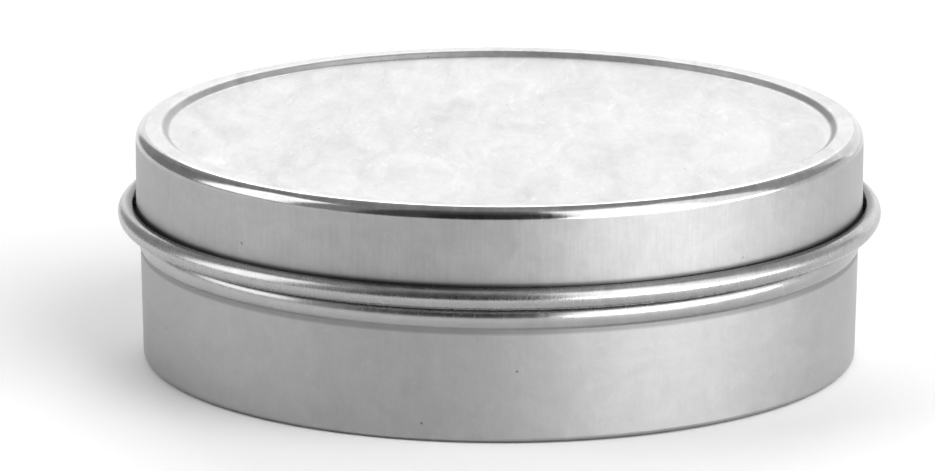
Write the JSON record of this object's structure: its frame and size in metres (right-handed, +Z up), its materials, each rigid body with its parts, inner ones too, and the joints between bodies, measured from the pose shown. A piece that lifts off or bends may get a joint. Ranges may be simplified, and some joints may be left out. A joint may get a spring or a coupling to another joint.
{
  "type": "candle tin",
  "caption": "Shallow round drawn tinplate tin with a slip lid: sunken lid panel, outward rolled lid edge, and a stop bead round the cup.",
  "frame": {"origin": "middle of the plane the tin stands on, on the tin's axis", "axes": "+Z up along the tin's axis, from the base to the lid; the tin is the same all the way round, so +X and +Y are any two level directions at right angles"},
  "size_m": [0.0668, 0.0668, 0.0204],
  "materials": {
    "cup_tinplate": "bright tinplate, drawn, with a fine cloudy grain",
    "lid_tinplate": "bright tinplate with a mottled panel and upright draw marks on the skirt"
  },
  "bodies": {
    "cup": {"tin_body": "cup_tinplate"},
    "lid": {"lid": "lid_tinplate"}
  },
  "joints": [
    {"name": "lid_lift", "type": "slide", "parent": "cup", "child": "lid", "axis": [0, 0, 1], "range_m": [0, 0.03]}
  ]
}
